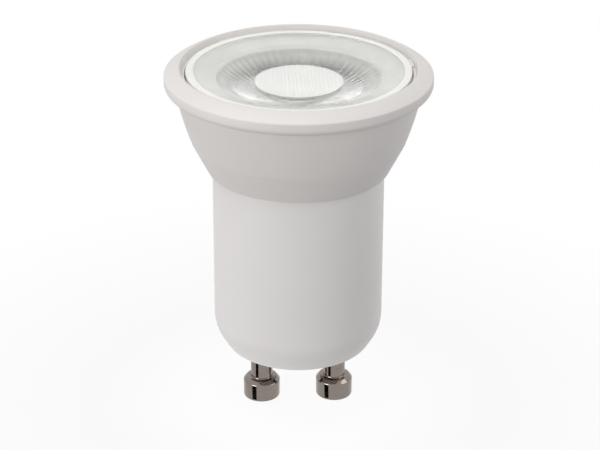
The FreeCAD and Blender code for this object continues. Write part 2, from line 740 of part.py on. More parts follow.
# The fusible resistor: a waisted body lying across the board, with its two wires bent down to it.
def make_fusible_resistor():
    body = piece("fusible_resistor")
    cap = "fuse_length / 5"
    revolve(body, "resistor_body", [
        ("0", "-fuse_length / 2"),
        ("fuse_radius - fuse_waist", "-fuse_length / 2", "fuse_waist", -1),
        ("fuse_radius", "fuse_waist - fuse_length / 2"),
        ("fuse_radius", cap + " - fuse_length / 2"),
        ("fuse_radius - fuse_waist", cap + " + fuse_waist - fuse_length / 2"),
        ("fuse_radius - fuse_waist", "fuse_length / 2 - fuse_waist - " + cap),
        ("fuse_radius", "fuse_length / 2 - " + cap),
        ("fuse_radius", "fuse_length / 2 - fuse_waist", "fuse_waist", -1),
        ("fuse_radius - fuse_waist", "fuse_length / 2"),
        ("0", "fuse_length / 2"),
    ])
    bent_wire(body, "left_wire", "0", "-fuse_length / 2", "-fuse_length / 2 - fuse_wire_reach",
              "part_fit + fuse_radius")
    bent_wire(body, "right_wire", "0", "fuse_length / 2", "fuse_length / 2 + fuse_wire_reach",
              "part_fit + fuse_radius")
    body.Placement.Rotation = FreeCAD.Rotation(FreeCAD.Vector(0, 1, 0), 90)
    put(body, "0", "-(%s + part_fit + fuse_radius)" % BOARD_FACE, BOARD_FOOT + " + fuse_rise")


# Small chips of one kind, in a column on the back of the board, as a group of separate solids.
def make_chip_group(name, size, count):
    body = piece(name)
    outline = sketch_on(body, name + "_outline", "XZ_Plane", "-" + BOARD_FACE)
    for index in range(count):
        low = "%s + %s_rise + %s_pitch * %d - %s_width / 2" % (BOARD_FOOT, size, size, index, size)
        draw_rectangle(outline, "%s_across - %s_length / 2" % (size, size),
                       "%s_across + %s_length / 2" % (size, size), low, "%s + %s_width" % (low, size))
    pad(body, name + "_blocks", outline, size + "_depth", backwards=True).AllowMultiFace = True


def rounded_path(points, bend):
    """Straight runs joined by tangent arcs of one bend radius."""
    edges = []
    start = points[0]
    for before, corner, after in zip(points, points[1:], points[2:]):
        into = (corner - before).normalize()
        out = (after - corner).normalize()
        turn = into.getAngle(out)
        reach = bend * math.tan(turn / 2)
        first = corner - into * reach
        last = corner + out * reach
        middle = corner + (out - into).normalize() * bend * (1 / math.cos(turn / 2) - 1)
        edges.append(Part.LineSegment(start, first).toShape())
        edges.append(Part.Arc(first, middle, last).toShape())
        start = last
    edges.append(Part.LineSegment(start, points[-1]).toShape())
    return Part.Wire(edges)


# An insulated lead along a bent route, as a tube of one radius.
def make_lead(name, route, radius, bend):
    points = [FreeCAD.Vector(*[value(text) for text in point]) for point in route]
    path = rounded_path(points, value(bend))
    circle = Part.Circle(points[0], points[1] - points[0], value(radius))
    end = Part.Wire([circle.toShape()])
    lead = document.addObject("Part::Feature", name)
    lead.Label = name
    lead.Shape = path.makePipeShell([end], True, True)
    lead.Placement = FreeCAD.Placement()
    straight = path.Length * math.pi * value(radius) ** 2
    if abs(lead.Shape.Volume / straight - 1) > 0.01:
        raise RuntimeError(name + " is not as long as its route")
    pieces.append(lead)


# Each mains lead rises from its pin's cup, passes the foot of the board and ends on its back face.
def make_mains_leads():
    bore_floor = FLOOR + " + pin_rivet_height + pin_tail_length - pin_bore_depth + part_fit"
    turn_level = BOARD_FOOT + " - mains_lead_radius - mains_lead_bend + part_fit"
    pad_level = BOARD_FOOT + " + mains_lead_pad_rise"
    out = BOARD_FACE + " + mains_lead_stand_off"
    for name, across in (("live_lead", "-pin_spacing / 2"), ("neutral_lead", "pin_spacing / 2")):
        make_lead(name, [
            (across, "0", bore_floor),
            (across, "0", turn_level),
            (across, out, turn_level),
            (across, out, pad_level),
            (across, BOARD_FACE, pad_level),
        ], "mains_lead_radius", "mains_lead_bend")


# Each LED lead leaves the back of the board and turns up through the heat sink and the LED board.
def make_led_leads():
    pad_level = BOARD_TOP + " - led_lead_pad_drop"
    for name, across in (("led_lead_positive", "-led_lead_across"), ("led_lead_negative", "led_lead_across")):
        make_lead(name, [
            (across, BOARD_FACE, pad_level),
            (across, LED_LEAD_PLACE, pad_level),
            (across, LED_LEAD_PLACE, LED_SEAT + " + led_lead_stub"),
        ], "led_lead_radius", "led_lead_bend")


for pin_name, pin_side in (("contact_pin_left", -1), ("contact_pin_right", 1)):
    make_contact_pin(pin_name, pin_side)
make_base_shell()
make_head_shell()
make_heat_sink()
make_board_disc("thermal_pad", SINK_FLOOR, LED_BOARD_RADIUS + " - pad_margin", "pad_thickness")
make_board_disc("led_board", BOARD_SEAT, LED_BOARD_RADIUS, "led_board_thickness")
make_led_package()
make_led_phosphor()
make_board_screws()
make_lens()
make_driver_board()
make_can_capacitor("bulk_capacitor", "bulk_cap")
make_can_capacitor("output_capacitor", "output_cap")
make_inductor()
make_board_block("film_capacitor", "film_cap", "package_edge")
add_terminals(make_board_block("bridge_rectifier", "rectifier", "package_edge"), "rectifier", "rectifier", 2)
add_terminals(make_board_block("driver_chip", "chip", "package_edge"), "driver_chip", "chip", 4)
add_terminals(make_board_block("freewheel_diode", "diode", "package_edge"), "diode", "diode", 1)
make_fusible_resistor()
make_chip_group("chip_resistors", "chip_resistor", 2)
make_chip_group("chip_capacitors", "chip_capacitor", 2)
make_mains_leads()
make_led_leads()

document.recompute()
failed = [item.Name for item in document.Objects if {"Invalid", "Error"} & set(item.State)]
if failed:
    raise RuntimeError("not built: " + ", ".join(failed))
os.makedirs("parts", exist_ok=True)
for part in pieces:
    if part.Shape.isNull() or not part.Shape.isValid() or not part.Shape.Solids:
        raise RuntimeError(part.Label + " has no valid solid")
    part.Shape.exportStep("parts/%s.step" % part.Label)
    print("%-20s %2d solids %9.2f mm3" % (part.Label, len(part.Shape.Solids), part.Shape.Volume))
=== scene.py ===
# %% [markdown]
# A small LED spotlight bulb: a white moulded head with a clear lens, a white base and two nickel pins.
# The construction model gives every piece its place. This lesson dresses it: the pieces that show are
# made again as fine meshes of the same form, and every piece gets the finish of its real material.

# %% Load the construction model
import math

import bmesh
import bpy
from mathutils import Matrix, Vector


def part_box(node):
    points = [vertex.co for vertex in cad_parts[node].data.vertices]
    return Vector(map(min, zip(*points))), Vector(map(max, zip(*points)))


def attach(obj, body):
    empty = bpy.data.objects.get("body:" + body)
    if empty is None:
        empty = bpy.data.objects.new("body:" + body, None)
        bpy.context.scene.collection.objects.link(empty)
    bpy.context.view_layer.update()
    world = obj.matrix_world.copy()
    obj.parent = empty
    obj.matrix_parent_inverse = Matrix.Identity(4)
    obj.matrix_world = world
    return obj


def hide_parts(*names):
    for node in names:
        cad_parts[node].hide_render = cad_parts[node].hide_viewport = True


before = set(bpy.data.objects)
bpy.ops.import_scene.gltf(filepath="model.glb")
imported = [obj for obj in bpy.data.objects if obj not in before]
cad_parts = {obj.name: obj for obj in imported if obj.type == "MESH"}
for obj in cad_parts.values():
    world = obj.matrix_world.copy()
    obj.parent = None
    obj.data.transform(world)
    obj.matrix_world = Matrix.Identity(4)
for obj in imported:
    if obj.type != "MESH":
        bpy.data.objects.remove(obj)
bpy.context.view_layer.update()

print("pieces in the construction model:", len(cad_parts))

# %% [markdown]
# Sizes are in millimetres, as a maker would write them, and are turned to metres when a mesh is made.
# The lens, flange and base read their levels from the construction model, so they can't drift from it.

# %% Levels and radii that the pieces share
MM = 0.001


def box_mm(node):
    """The lowest and highest corner of a construction piece, in millimetres."""
    return [[value / MM for value in corner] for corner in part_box(node)]


head_low, head_high = box_mm("head_shell")
base_low, base_high = box_mm("base_shell")
lens_low, lens_high = box_mm("lens")
pin_low, pin_high = box_mm("contact_pin_left")

CREST_RISE = 0.9
BOSS_HEIGHT = 0.8
LENS_RADIUS = 14.7
LENS_EDGE = 1.6
AIR = 0.05

CREST = head_high[2]
FLANGE_TOP = CREST - CREST_RISE
FLANGE_RADIUS = head_high[0]
HEAD_FOOT = head_low[2]
BOSS_FACE = base_low[2]
BASE_FACE = BOSS_FACE + BOSS_HEIGHT
BASE_RADIUS = base_high[0]
SPIGOT_TOP = base_high[2]
LENS_TOP = lens_high[2]
LENS_FOOT = lens_low[2]
LENS_SEAT = LENS_TOP - LENS_EDGE
PIN_TOP = pin_high[2]
PIN_ASIDE = abs(pin_high[0] + pin_low[0]) / 2
print("flange", round(FLANGE_RADIUS * 2, 2), "mm across, lamp", round(CREST, 2), "mm long")

# %% [markdown]
# Most pieces of a lamp are round, so one helper turns an outline about the lamp's axis, as a lathe or a
# round mould would. Corners are softened first, because no moulded or turned edge is perfectly sharp and
# the small rounding is what catches the light.

# %% Helpers for turned pieces
ON_AXIS = 1e-6
SHARP_CORNER = math.radians(32)


def soften(corners, steps=5):
    """Turn (radius, height, rounding) corners into points, each corner rounded by that much."""
    points = []
    count = len(corners)
    for index, (radius, height, rounding) in enumerate(corners):
        here = Vector((radius, height))
        if rounding == 0:
            points.append(here)
            continue
        before = Vector(corners[index - 1][:2]) - here
        after = Vector(corners[(index + 1) % count][:2]) - here
        reach = min(rounding, 0.45 * before.length, 0.45 * after.length)
        start = here + before.normalized() * reach
        end = here + after.normalized() * reach
        for step in range(steps + 1):
            along = step / steps
            points.append(start.lerp(here, along).lerp(here.lerp(end, along), along))
    return points


def swelling_side(start, end, radius, steps=14):
    """Points strictly between two corners on an arc that bulges away from the axis, as corners."""
    start = Vector(start)
    end = Vector(end)
    chord = end - start
    outward = Vector((chord.y, -chord.x)).normalized()
    if outward.x < 0:
        outward = -outward
    half = chord.length / 2
    depth = math.sqrt(radius ** 2 - half ** 2)
    middle = (start + end) / 2 - outward * depth
    points = []
    for step in range(1, steps):
        offset = (2 * step / steps - 1) * half
        point = middle + chord.normalized() * offset + outward * math.sqrt(radius ** 2 - offset ** 2)
        points.append((point.x, point.y, 0))
    return points


def shade(mesh):
    """Shade the mesh smooth, apart from its sharp corners."""
    mesh.shade_smooth()
    mesh.set_sharp_from_angle(angle=SHARP_CORNER)


def as_object(name, mesh):
    """Put the mesh in the scene, shaded smooth."""
    shade(mesh)
    piece = bpy.data.objects.new(name, mesh)
    bpy.context.scene.collection.objects.link(piece)
    return piece


def turned(name, outline, steps=192, shape=None, centre=(0, 0)):
    """Turn a closed outline of (radius, height) points, in millimetres, round an upright axis.
    shape(radius, height, angle) may move each point, for what isn't quite round."""
    shaper = bmesh.new()
    rings = []
    for point in outline:
        if point[0] < ON_AXIS:
            height = shape(0, point[1], 0)[1] if shape else point[1]
            rings.append([shaper.verts.new((centre[0] * MM, centre[1] * MM, height * MM))])
            continue
        ring = []
        for step in range(steps):
            angle = 2 * math.pi * step / steps
            radius, height = shape(point[0], point[1], angle) if shape else point
            across = centre[0] + radius * math.cos(angle)
            along = centre[1] + radius * math.sin(angle)
            ring.append(shaper.verts.new((across * MM, along * MM, height * MM)))
        rings.append(ring)
    for ring, following in zip(rings, rings[1:] + rings[:1]):
        if len(ring) == 1 and len(following) == 1:
            continue
        for step in range(steps):
            ahead = (step + 1) % steps
            corners = [ring[step % len(ring)], ring[ahead % len(ring)],
                       following[ahead % len(following)], following[step % len(following)]]
            shaper.faces.new(list(dict.fromkeys(corners)))
    bmesh.ops.recalc_face_normals(shaper, faces=shaper.faces)
    mesh = bpy.data.meshes.new(name)
    shaper.to_mesh(mesh)
    shaper.free()
    return as_object(name, mesh)


def finish_piece(piece, material, slot, *nodes):
    """Give the piece its material, let it ride with the lamp and stand for its construction nodes."""
    piece.data.materials.append(material)
    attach(piece, "root")
    if nodes:
        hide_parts(*nodes)
    print(piece.name, "has", len(piece.data.polygons), "faces")


# %% [markdown]
# Colours are written as the sRGB hex values that a colour picker shows. The shaders work in linear light,
# so one function turns them.

# %% Colour and node helpers
def linear(hex_colour):
    """An sRGB hex colour as linear RGBA."""
    channels = [int(hex_colour[place:place + 2], 16) / 255 for place in (1, 3, 5)]
    turned_linear = [c / 12.92 if c <= 0.04045 else ((c + 0.055) / 1.055) ** 2.4 for c in channels]
    return (*turned_linear, 1.0)


def add(tree, kind, inputs=None, **settings):
    """Add a node, set its settings, and fill its inputs with values or with other nodes' sockets."""
    made = tree.nodes.new(kind)
    for name, value in settings.items():
        setattr(made, name, value)
    for name, value in (inputs or {}).items():
        if isinstance(value, bpy.types.NodeSocket):
            tree.links.new(value, made.inputs[name])
        else:
            made.inputs[name].default_value = value
    return made


def new_material(name):
    material = bpy.data.materials.new(name)
    material.use_nodes = True
    material.node_tree.nodes.clear()
    return material, material.node_tree


def speckled(tree, place, size_mm, detail=3.0):
    """Noise whose grains are about size_mm across."""
    return add(tree, "ShaderNodeTexNoise",
               {"Vector": place, "Scale": 1 / (size_mm * MM), "Detail": detail}).outputs["Fac"]


def graded(tree, factor, low, high):
    """A smooth run from one hex colour to another."""
    return add(tree, "ShaderNodeMix", {"Factor": factor, "A": linear(low), "B": linear(high)},
               data_type="RGBA").outputs["Result"]


def mapped(tree, factor, low, high):
    """Stretch a factor of 0.3 to 0.7, which is where noise mostly lies, to low to high."""
    return add(tree, "ShaderNodeMapRange", {"Value": factor, "From Min": 0.3, "From Max": 0.7,
                                            "To Min": low, "To Max": high}).outputs["Result"]


# %% [markdown]
# The head is moulded from a white thermoplastic that carries heat. Its mould is spark-eroded, which
# leaves a fine matt grain of about a tenth of a millimetre: too fine to see as grains, but it is why the
# highlights are broad and soft. Here the grain is drawn at 0.35 mm so that it shows at all, with slow,
# barely visible changes of tone over several millimetres from the flow of the melt.

# %% White moulded plastics
def moulded_plastic(name, light, dark, roughness, grain_mm, grain_depth_mm):
    material, tree = new_material(name)
    place = add(tree, "ShaderNodeTexCoord").outputs["Object"]
    flow = speckled(tree, place, 7.0, detail=2.0)
    grain = speckled(tree, place, grain_mm, detail=4.0)
    relief = add(tree, "ShaderNodeBump",
                 {"Height": grain, "Distance": grain_depth_mm * MM, "Strength": 0.5})
    surface = add(tree, "ShaderNodeBsdfPrincipled", {
        "Base Color": graded(tree, flow, dark, light),
        "Roughness": mapped(tree, grain, roughness - 0.06, roughness + 0.06),
        "IOR": 1.5,
        "Normal": relief.outputs["Normal"],
    })
    add(tree, "ShaderNodeOutputMaterial", {"Surface": surface.outputs["BSDF"]})
    return material


eroded_white = moulded_plastic("thermal_plastic_eroded_white", "#DDD9D7", "#D8D4D2", 0.55, 0.35, 0.02)
satin_white = moulded_plastic("pbt_satin_moulded_white", "#E5E2E0", "#E1DEDC", 0.42, 0.5, 0.008)
print("plastics:", eroded_white.name, satin_white.name)

# %% [markdown]
# The head shell: a lower belt, a cup side that swells slightly, a crease under the flange and the broad
# flange, whose face rises to a crest before it drops into the groove round the lens. It could be sculpted
# or lofted, but the real one is a round moulding, so its outline is turned. Each corner has its rounding.

# %% Head shell
SPIGOT_BORE = 10.95
FOOT_RADIUS = 12.0
BELT = (14.1, HEAD_FOOT + 4.15)
NECK = (16.05, FLANGE_TOP - 2.15)
SIDE_SWELL = 45.0
CREASE = (16.9, FLANGE_TOP - 1.9)
FLANGE_UNDERSIDE = FLANGE_TOP - 1.4
FLANGE_EDGE = (FLANGE_RADIUS, FLANGE_TOP - 0.15)
FLANGE_SWELL = 8.0
CREST_RADIUS = 15.65
CREST_WIDTH = 0.2
GROOVE_RADIUS = 15.15
GROOVE_FLOOR = CREST - 0.95
POCKET_RADIUS = LENS_RADIUS + 0.15
LEDGE = LENS_SEAT - AIR
LEDGE_BORE = 11.1
LEDGE_UNDERSIDE = LENS_SEAT - 1.2
HEAD_BORE = 13.9
HEAD_BORE_FOOT = LENS_SEAT - 3.2
BORE_AT_BELT = 12.85
BORE_AT_SHELF = 12.07
SHELF = HEAD_FOOT + 2.6
head_outline = soften([
    (SPIGOT_BORE, HEAD_FOOT, 0.1),
    (FOOT_RADIUS, HEAD_FOOT, 0.15),
    (*BELT, 0.3),
    *swelling_side(BELT, NECK, SIDE_SWELL),
    (*NECK, 0.2),
    (*CREASE, 0.4),
    (FLANGE_RADIUS, FLANGE_UNDERSIDE, 0.35),
    (*FLANGE_EDGE, 0.35),
    *swelling_side(FLANGE_EDGE, (CREST_RADIUS, CREST), FLANGE_SWELL, steps=6),
    (CREST_RADIUS, CREST, 0.2),
    (CREST_RADIUS - CREST_WIDTH, CREST, 0.1),
    (GROOVE_RADIUS, GROOVE_FLOOR, 0.15),
    (POCKET_RADIUS, GROOVE_FLOOR, 0.05),
    (POCKET_RADIUS, LEDGE, 0.05),
    (LEDGE_BORE, LEDGE, 0.15),
    (LEDGE_BORE, LEDGE_UNDERSIDE, 0.15),
    (HEAD_BORE, LEDGE_UNDERSIDE, 0.2),
    (HEAD_BORE, HEAD_BORE_FOOT, 0.2),
    (BORE_AT_BELT, BELT[1], 0.2),
    (BORE_AT_SHELF, SHELF, 0.1),
    (SPIGOT_BORE, SHELF, 0.1),
])
head = turned("head_moulding", head_outline, steps=256)
finish_piece(head, eroded_white, "head_plastic", "head_shell")

# %% [markdown]
# The base shell: a plain cylinder whose bottom edge is bevelled for the twist-lock holder, closed by a
# flat end with a low boss round each pin. It is turned like the head, and the two bosses, which sit
# beside the axis, are joined on with a boolean so that the flat end stays one surface.

# %% Base shell
BEVEL_RADIUS = 9.6
BEVEL_HEIGHT = 2.9
SPIGOT_RADIUS = 10.85
BASE_BORE = 10.05
BASE_BORE_FOOT = BASE_FACE + 3.0
BASE_FLOOR = BASE_FACE + 1.5
BASE_FLOOR_RADIUS = 8.3
base_outline = soften([
    (0, BASE_FACE, 0),
    (BEVEL_RADIUS, BASE_FACE, 0.5),
    (BASE_RADIUS, BASE_FACE + BEVEL_HEIGHT, 1.6),
    (BASE_RADIUS, HEAD_FOOT, 0.1),
    (SPIGOT_RADIUS, HEAD_FOOT, 0.05),
    (SPIGOT_RADIUS, SPIGOT_TOP, 0.15),
    (BASE_BORE, SPIGOT_TOP, 0.15),
    (BASE_BORE, BASE_BORE_FOOT, 0.3),
    (BASE_FLOOR_RADIUS, BASE_FLOOR, 0.3),
    (0, BASE_FLOOR, 0),
], steps=8)
base = turned("base_moulding", base_outline, steps=256)
BOSS_RADIUS = 3.2
BOSS_ROOT = BASE_FACE + 0.5
PIN_HOLE = 1.55
DRILL_ENDS = (BOSS_FACE - 1, BASE_FACE + 2)


def join_or_cut(piece, tool, operation):
    """Apply a boolean with another mesh, and delete that mesh."""
    modifier = piece.modifiers.new(operation.lower(), "BOOLEAN")
    modifier.object = tool
    modifier.operation = operation
    modifier.solver = "EXACT"
    bpy.context.view_layer.update()
    evaluated = piece.evaluated_get(bpy.context.evaluated_depsgraph_get())
    result = bpy.data.meshes.new_from_object(evaluated)
    piece.modifiers.clear()
    piece.data = result
    bpy.data.objects.remove(tool)


boss_outline = soften([
    (0, BOSS_ROOT, 0),
    (0, BOSS_FACE, 0),
    (BOSS_RADIUS, BOSS_FACE, 0.15),
    (BOSS_RADIUS, BOSS_ROOT, 0),
])
drill_foot, drill_top = DRILL_ENDS
drill_outline = [(0, drill_top), (0, drill_foot), (PIN_HOLE, drill_foot), (PIN_HOLE, drill_top)]
for side in (-1, 1):
    place = (side * PIN_ASIDE, 0)
    join_or_cut(base, turned("boss", boss_outline, steps=96, centre=place), "UNION")
    join_or_cut(base, turned("drill", drill_outline, steps=96, centre=place), "DIFFERENCE")
shade(base.data)
finish_piece(base, satin_white, "base_plastic", "base_shell")

# %% [markdown]
# The pins are brass, turned on a lathe and nickel-plated. Bright nickel is a warm grey mirror, slightly
# blurred by the tool's rings under the plating. The real rings are about 0.05 mm apart. They are drawn
# 0.75 mm apart, so that they show at all, as a very shallow relief that runs round the pin. The wave
# texture draws a full wave each time its place, times its scale, times 20 grows by two pi. Metal keeps the
# shader's own index of refraction.

# %% Nickel-plated pins
TOOL_RING_PITCH = 0.754
TOOL_RING_DEPTH = 0.002


def plated_nickel():
    material, tree = new_material("nickel_plated_turned_brass")
    place = add(tree, "ShaderNodeTexCoord").outputs["Object"]
    scale = 2 * math.pi / (20 * TOOL_RING_PITCH * MM)
    rings = add(tree, "ShaderNodeTexWave",
                {"Vector": place, "Scale": scale, "Distortion": 0.6, "Detail": 1.0},
                bands_direction="Z", wave_profile="SIN").outputs["Fac"]
    haze = speckled(tree, place, 0.8)
    relief = add(tree, "ShaderNodeBump",
                 {"Height": rings, "Distance": TOOL_RING_DEPTH * MM, "Strength": 0.3})
    surface = add(tree, "ShaderNodeBsdfPrincipled", {
        "Base Color": graded(tree, haze, "#7F7670", "#8F867F"),
        "Metallic": 1.0,
        "Roughness": mapped(tree, haze, 0.06, 0.14),
        "Normal": relief.outputs["Normal"],
    })
    add(tree, "ShaderNodeOutputMaterial", {"Surface": surface.outputs["BSDF"]})
    return material


nickel = plated_nickel()
PIN_HEAD_RADIUS = 2.5
PIN_HEAD_SIDE = 2.5
PIN_HEAD_TOP = 3.0
PIN_HEAD_NARROW = 2.05
SHANK_RADIUS = 1.5
FLARE_RADIUS = 2.2
FLARE_TOP = BASE_FLOOR + 0.5
CUP_RADIUS = 0.65
CUP_FLOOR = PIN_TOP - 1.8
pin_outline = soften([
    (0, 0, 0),
    (PIN_HEAD_RADIUS, 0, 0.35),
    (PIN_HEAD_RADIUS, PIN_HEAD_SIDE, 0.12),
    (PIN_HEAD_NARROW, PIN_HEAD_TOP, 0.12),
    (SHANK_RADIUS, PIN_HEAD_TOP, 0.15),
    (SHANK_RADIUS, BASE_FLOOR, 0),
    (FLARE_RADIUS, BASE_FLOOR, 0.1),
    (FLARE_RADIUS, FLARE_TOP, 0.1),
    (SHANK_RADIUS, FLARE_TOP, 0),
    (SHANK_RADIUS, PIN_TOP, 0.1),
    (CUP_RADIUS, PIN_TOP, 0.1),
    (CUP_RADIUS, CUP_FLOOR, 0),
    (0, CUP_FLOOR, 0),
])
for node, side in (("contact_pin_left", -1), ("contact_pin_right", 1)):
    pin = turned(node + "_turning", pin_outline, steps=96, centre=(side * PIN_ASIDE, 0))
    finish_piece(pin, nickel, "nickel", node)

# %% [markdown]
# The lens is one clear acrylic moulding. From the front it has a flat rim with three grip lugs, a shallow
# dish whose surface keeps faint turning rings from the mould, and in the middle a raised round spot
# covered in tiny beads that spread the beam. Below the dish hangs the collimator: a curved flank with
# fine flutes that reflects the light of the source forward, and a hollow over the source. All of it is
# real geometry, because clear plastic shows every surface at once. Its sizes come first.

# %% Sizes of the lens
SPOT_RADIUS = 5.8
SPOT_LEVEL = LENS_TOP - 1.65
DISH_FLOOR = LENS_TOP - 1.85
STEP_RADIUS = 10.95
STEP_LEVEL = LENS_TOP - 0.9
RIM_RADIUS = LENS_RADIUS - 0.7
FLANK_TOP = (10.8, LENS_SEAT)
FLANK_FOOT = (4.7, LENS_FOOT)
FLANK_SWELL = 14.0
CAVITY_RADIUS = 3.4
CAVITY_MOUTH = 3.5
CAVITY_TOP = LENS_FOOT + 3.6
DOME_DROP = 0.6
DOME_STEPS = 8
BEAD_PITCH = 0.5
BEAD_HEIGHT = 0.08
BEAD_SPACING = 0.09
FLUTES = 60
FLUTE_DEPTH = 0.08
RING_PITCH = 0.55
RING_HEIGHT = 0.006
RING_SPACING = 0.12
LUG_HALF_WIDTH = 1.3
LUG_SLOPE = 0.2
LUG_REACH = 0.4
LUG_TOP = LENS_TOP - 0.1
LUG_FOOT = LENS_TOP - 0.43
LUG_ANGLES = [math.radians(8 + 120 * turn) for turn in range(3)]
GATE_ANGLE = math.radians(68)
GATE_HALF_WIDTH = 0.7
GATE_DEPTH = 0.35
print("lens", LENS_RADIUS * 2, "mm across and", round(LENS_TOP - LENS_FOOT, 2), "mm high")

# %% [markdown]
# Fine texture could also be a bump in the shader. A bump leaves the outline as it was, though, and it is
# lost when the meshes are exported. So one function moves each point of the turned mesh by what isn't
# plainly round: the beads of the spot, the turning rings, the flutes, the lugs and the flat where the gate
# was cut off.

# %% Beads, rings, flutes and lugs
def bead(across, along):
    """Height of a hexagonal field of small domes at a place."""
    total = 0
    for turn in range(3):
        angle = math.pi * turn / 3
        total += math.cos(2 * math.pi / BEAD_PITCH * (across * math.cos(angle) + along * math.sin(angle)))
    return BEAD_HEIGHT * (total / 3)


def lens_surface(radius, height, angle):
    """Add what isn't plainly turned: beads, rings, flutes and lugs."""
    if radius < SPOT_RADIUS - 0.05 and height > DISH_FLOOR - 0.2:
        return radius, height + bead(radius * math.cos(angle), radius * math.sin(angle))
    if STEP_RADIUS < radius < RIM_RADIUS - 0.3 and height > LENS_SEAT + 0.5:
        return radius, height + RING_HEIGHT * math.cos(2 * math.pi * radius / RING_PITCH)
    if FLANK_FOOT[0] + 0.05 < radius < FLANK_TOP[0] - 0.1 and height < LENS_SEAT - 0.3:
        return radius + FLUTE_DEPTH * math.cos(FLUTES * angle), height
    if radius > LENS_RADIUS - 0.05 and LUG_FOOT < height < LUG_TOP:
        for middle in LUG_ANGLES:
            aside = LENS_RADIUS * abs(math.remainder(angle - middle, 2 * math.pi))
            edge = min(1, max(0, (LUG_HALF_WIDTH - aside) / LUG_SLOPE))
            radius += LUG_REACH * edge * edge * (3 - 2 * edge)
    if radius > LENS_RADIUS - GATE_DEPTH and height > LENS_SEAT - 0.05:
        aside = LENS_RADIUS * abs(math.remainder(angle - GATE_ANGLE, 2 * math.pi))
        if aside < GATE_HALF_WIDTH:
            radius = LENS_RADIUS - GATE_DEPTH
    return radius, height


print("the lens has", len(LUG_ANGLES), "lugs and", FLUTES, "flutes")

# %% [markdown]
# The lens is turned from its outline like the head. The spot and the ledge get closely spaced points along
# the outline, because a texture only shows where the mesh has points to move. The flank swells, as a
# reflector's does, and the top of the hollow bulges down as a small lens of its own.

# %% Outline of the lens
def spread(start, end, step):
    """Corners strictly between two places, about step apart."""
    start = Vector(start)
    end = Vector(end)
    count = max(1, round((end - start).length / step))
    return [(*start.lerp(end, index / count), 0) for index in range(1, count)]


def domed_top():
    """Corners of the hollow's top, which bulges down in the middle."""
    corners = []
    for step in range(1, DOME_STEPS):
        outward = 1 - step / DOME_STEPS
        corners.append((CAVITY_RADIUS * outward, CAVITY_TOP - DOME_DROP * (1 - outward ** 2), 0))
    return corners


lens_outline = soften([
    (0, SPOT_LEVEL, 0),
    *spread((0, SPOT_LEVEL), (SPOT_RADIUS, SPOT_LEVEL), BEAD_SPACING),
    (SPOT_RADIUS, SPOT_LEVEL, 0.06),
    (SPOT_RADIUS + 0.02, DISH_FLOOR, 0.06),
    (SPOT_RADIUS + 0.25, DISH_FLOOR, 0.1),
    (STEP_RADIUS, STEP_LEVEL, 0.5),
    *spread((STEP_RADIUS, STEP_LEVEL), (RIM_RADIUS, LENS_TOP), RING_SPACING),
    (RIM_RADIUS, LENS_TOP, 0.15),
    (LENS_RADIUS, LENS_TOP, 0.3),
    (LENS_RADIUS, LENS_TOP - 0.4, 0.04),
    (LENS_RADIUS, LENS_TOP - 0.46, 0),
    (LENS_RADIUS, LENS_SEAT, 0.1),
    (*FLANK_TOP, 0.1),
    *reversed(swelling_side(FLANK_FOOT, FLANK_TOP, FLANK_SWELL, steps=20)),
    (*FLANK_FOOT, 0.1),
    (CAVITY_MOUTH, LENS_FOOT, 0.1),
    (CAVITY_RADIUS, CAVITY_TOP, 0.1),
    *domed_top(),
    (0, CAVITY_TOP - DOME_DROP, 0),
], steps=4)
lens = turned("lens_moulding", lens_outline, steps=384, shape=lens_surface)
print("the lens's outline has", len(lens_outline), "points")

# %% [markdown]
# Clear acrylic is a transmitting shader with an index of refraction of 1.49. The mould is polished on the
# dish and on most of the flank, so there you look into the lens and see the flutes mirror the studio. The
# rim, the beaded spot, the top of the flank and the underside of the plate are satin: they scatter the
# light and so look milky white. Two shaders are therefore mixed, and the share of satin runs from low to
# high over short stretches of radius, first for the front of the lens and then for its back.

# %% Finish of the lens
SPOT_EDGE = (5.7, 5.9)
DISH_EDGE = (10.8, 11.0)
RIM_EDGE = (13.55, 13.85)
FLANK_HAZE = (8.8, 10.2)
PLATE_EDGE = (10.5, 10.7)


def ramp(tree, value, start, end, low, high):
    """Run from low to high while a value goes from start to end, and hold outside."""
    return add(tree, "ShaderNodeMapRange", {"Value": value, "From Min": start, "From Max": end,
                                            "To Min": low, "To Max": high}).outputs["Result"]


def ramp_mm(tree, value, stretch, low, high):
    """Run from low to high over a stretch of millimetres."""
    return ramp(tree, value, stretch[0] * MM, stretch[1] * MM, low, high)


def greater(tree, one, other):
    """The greater of two values."""
    return add(tree, "ShaderNodeMath", {0: one, 1: other}, operation="MAXIMUM").outputs[0]


